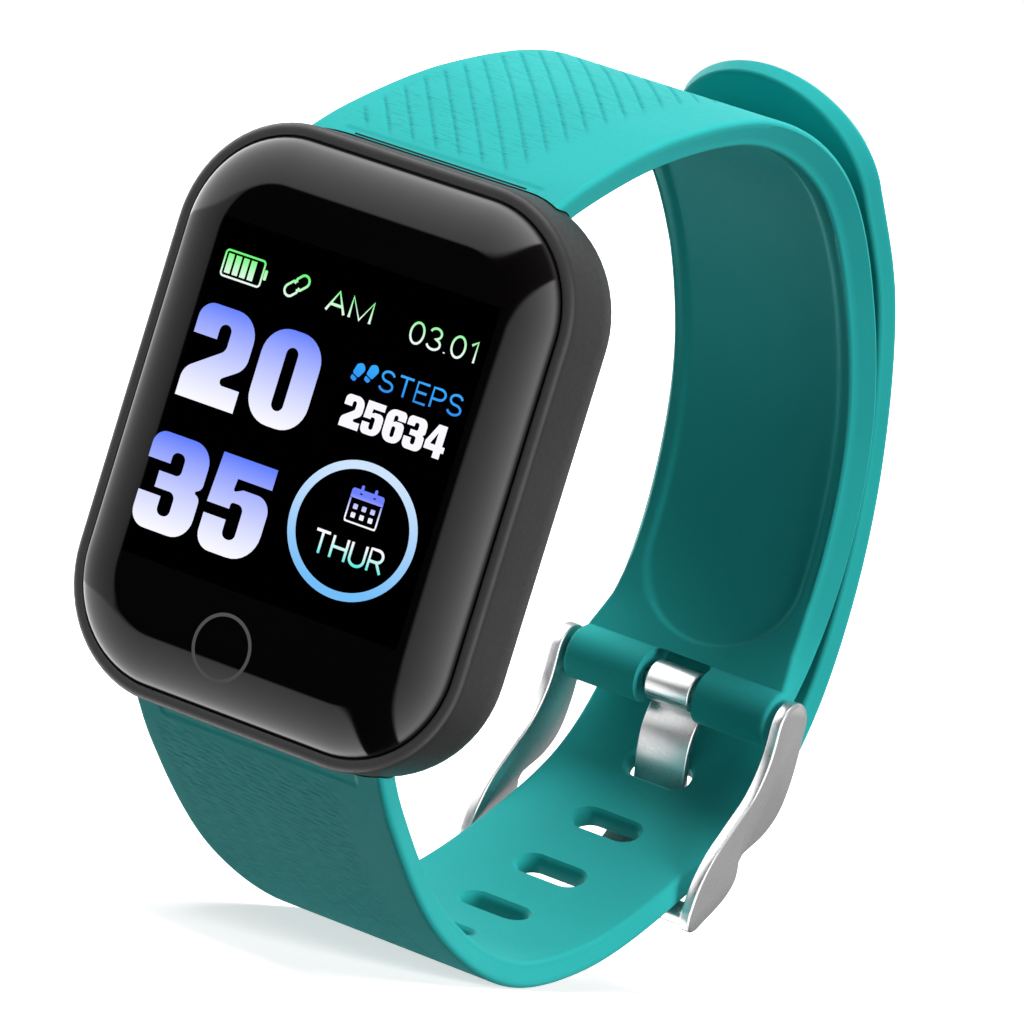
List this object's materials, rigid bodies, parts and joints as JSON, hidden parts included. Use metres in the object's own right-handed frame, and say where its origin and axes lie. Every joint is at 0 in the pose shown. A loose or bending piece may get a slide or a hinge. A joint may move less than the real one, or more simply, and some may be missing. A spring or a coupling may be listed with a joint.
{
  "type": "fitness tracker band",
  "caption": "Wrist-worn activity tracker: black case with curved touch glass over a display, silicone strap closed by a metal tang buckle, optical pulse sensor in the back.",
  "frame": {"origin": "centre of the sensor window's outer face, where the case rests on the wrist", "axes": "+Y out of the back of the case into the wrist loop, so the display faces -Y; +Z towards the top of the display and the upper strap; +X to the display's right as the wearer reads it"},
  "size_m": [0.0366, 0.075, 0.0762],
  "materials": {
    "case_black": "fine matte, dark grey",
    "cover_glass": "gloss, black ink behind it",
    "adhesive": "double-sided foam tape",
    "display": "gloss",
    "backlight": "white diffuser",
    "ribbon": "amber film",
    "chip_black": "matte",
    "circuit_board": "green solder mask",
    "crystal_case": "plain",
    "ceramic": "unglazed ceramic",
    "battery_foil": "soft foil pouch",
    "steel": "turned",
    "led": "green emitter under clear resin",
    "photodiode_black": "dark filter resin",
    "sensor_lens": "polished",
    "cover_black": "fine matte",
    "seal_rubber": "moulded",
    "screw_steel": "black oxide",
    "gold": "polished plating",
    "silicone": "matte, slightly silky",
    "insert": "moulded",
    "satin_metal": "satin, bright bevels"
  },
  "bodies": {
    "band": {"case_shell": "case_black", "touch_glass": "cover_glass", "glass_adhesive": "adhesive", "display_panel": "display", "display_backlight": "backlight", "display_ribbon": "ribbon", "display_connector": "chip_black", "touch_key_pad": "ribbon", "main_board": "circuit_board", "processor": "chip_black", "flash_memory": "chip_black", "motion_sensor": "chip_black", "charge_controller": "chip_black", "clock_crystal": "crystal_case", "antenna": "ceramic", "battery_cell": "battery_foil", "battery_protection_board": "circuit_board", "motor_case": "steel", "sensor_board": "circuit_board", "sensor_ribbon": "ribbon", "sensor_led_left": "led", "sensor_led_right": "led", "photodiode": "photodiode_black", "light_barrier": "chip_black", "sensor_window": "sensor_lens", "rear_cover": "cover_black", "rear_seal": "seal_rubber", "rear_screw_1": "screw_steel", "rear_screw_2": "screw_steel", "rear_screw_3": "screw_steel", "rear_screw_4": "screw_steel", "charge_contact_left": "gold", "charge_contact_right": "gold", "upper_strap": "silicone", "lower_strap": "silicone", "strap_insert_upper": "insert", "strap_insert_lower": "insert", "spring_bar_tube": "steel", "spring_bar_spring": "steel"},
    "buckle": {"buckle_frame": "satin_metal"},
    "prong": {"buckle_prong": "satin_metal"},
    "pin_left": {"spring_bar_pin_left": "steel"},
    "pin_right": {"spring_bar_pin_right": "steel"},
    "motor_rotor": {"motor_shaft": "steel", "motor_weight": "steel"}
  },
  "joints": [
    {"name": "buckle_frame_hinge", "type": "hinge", "parent": "band", "child": "buckle", "pos_m": [0, 0.0556, -0.0144], "axis": [1, 0, 0], "range_deg": [0, 120]},
    {"name": "prong_hinge", "type": "hinge", "parent": "band", "child": "prong", "pos_m": [0, 0.0556, -0.0144], "axis": [1, 0, 0], "range_deg": [0, 2]},
    {"name": "pin_left_slide", "type": "slide", "parent": "band", "child": "pin_left", "axis": [1, 0, 0], "range_m": [0, 0.0012], "stiffness_N_per_m": 300, "springref_m": -0.001},
    {"name": "pin_right_slide", "type": "slide", "parent": "band", "child": "pin_right", "axis": [-1, 0, 0], "range_m": [0, 0.0012], "stiffness_N_per_m": 300, "springref_m": -0.001},
    {"name": "motor_spin", "type": "hinge", "parent": "band", "child": "motor_rotor", "pos_m": [0, -0.0053, 0.0142], "axis": [1, 0, 0], "continuous": true}
  ]
}
